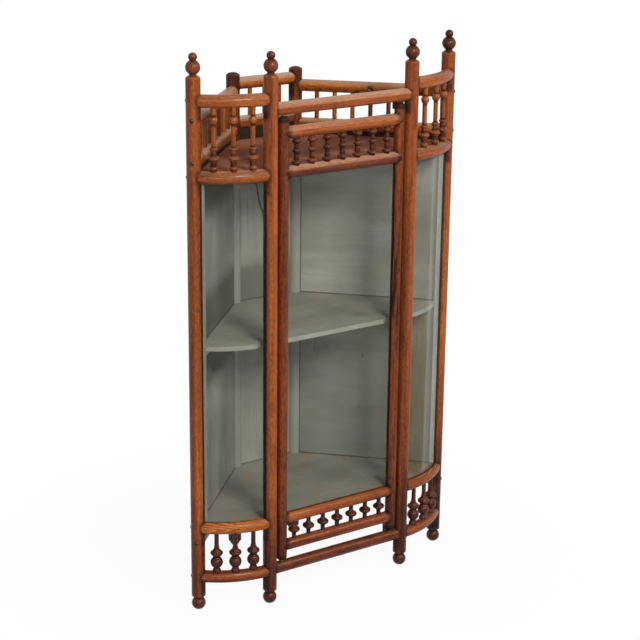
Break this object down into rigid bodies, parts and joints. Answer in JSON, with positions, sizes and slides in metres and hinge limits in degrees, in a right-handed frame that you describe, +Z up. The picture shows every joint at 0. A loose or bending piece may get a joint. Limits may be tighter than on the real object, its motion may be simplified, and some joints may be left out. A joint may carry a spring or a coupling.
{
  "type": "corner wall cabinet",
  "caption": "Corner wall cabinet framed in turned oak rods, with a glazed door, curved glass bays, splayed back walls, an inner shelf, a spindle gallery and a spindle apron.",
  "frame": {"origin": "on the floor plane under the middle of the cabinet's bounding box, at the bottom of its feet", "axes": "+Z up the posts, +Y from the door into the corner of the room, +X to the right as seen from the front"},
  "size_m": [0.6358, 0.3118, 1.1411],
  "materials": {
    "oak": "aged orange-brown varnish, satin",
    "turned_oak": "aged dark varnish, satin",
    "painted_board": "grey-green paint, matt, with brush marks",
    "bare_board": "unvarnished and dusty",
    "glass": "clear, old, slightly dusty",
    "blackened_iron": "blackened, worn",
    "brass": "tarnished"
  },
  "bodies": {
    "cabinet": {"left_outer_post": "oak", "left_inner_post": "oak", "left_rear_post": "oak", "right_outer_post": "oak", "right_inner_post": "oak", "right_rear_post": "oak", "left_bay_cornice_rail": "oak", "left_bay_gallery_rail": "oak", "left_bay_sill_rail": "oak", "left_bay_apron_rail": "oak", "right_bay_cornice_rail": "oak", "right_bay_gallery_rail": "oak", "right_bay_sill_rail": "oak", "right_bay_apron_rail": "oak", "front_cornice_rail": "oak", "front_apron_rail": "oak", "left_back_top_rail": "oak", "left_back_gallery_rail": "oak", "left_back_foot_rail": "oak", "centre_back_top_rail": "oak", "centre_back_gallery_rail": "oak", "centre_back_foot_rail": "oak", "right_back_top_rail": "oak", "right_back_gallery_rail": "oak", "right_back_foot_rail": "oak", "left_back_dowels": "oak", "centre_back_dowels": "oak", "right_back_dowels": "oak", "door_stops": "oak", "left_gallery_spindles": "turned_oak", "right_gallery_spindles": "turned_oak", "left_apron_spindles": "turned_oak", "right_apron_spindles": "turned_oak", "left_back_panel": "painted_board", "centre_back_panel": "painted_board", "right_back_panel": "painted_board", "shelf": "painted_board", "floor_board": "painted_board", "top_cleats": "painted_board", "shelf_cleats": "painted_board", "floor_cleats": "painted_board", "left_glazing_strip": "painted_board", "right_glazing_strip": "painted_board", "top_board": "bare_board", "left_curved_glass": "glass", "right_curved_glass": "glass", "left_post_screws": "blackened_iron", "right_post_screws": "blackened_iron", "door_pivot_bushes": "brass"},
    "door": {"door_hinge_stile": "oak", "door_meeting_stile": "oak", "door_top_rail": "oak", "door_frieze_rail": "oak", "door_sill_rail": "oak", "door_bottom_rail": "oak", "door_frieze_spindles": "turned_oak", "door_apron_spindles": "turned_oak", "door_glass": "glass", "door_pivot_pins": "blackened_iron", "door_pivot_washer": "brass"}
  },
  "joints": [
    {"name": "door_hinge", "type": "hinge", "parent": "cabinet", "child": "door", "pos_m": [-0.1386, -0.1416, 0.5524], "axis": [0, 0, -1], "range_deg": [0, 108]}
  ]
}
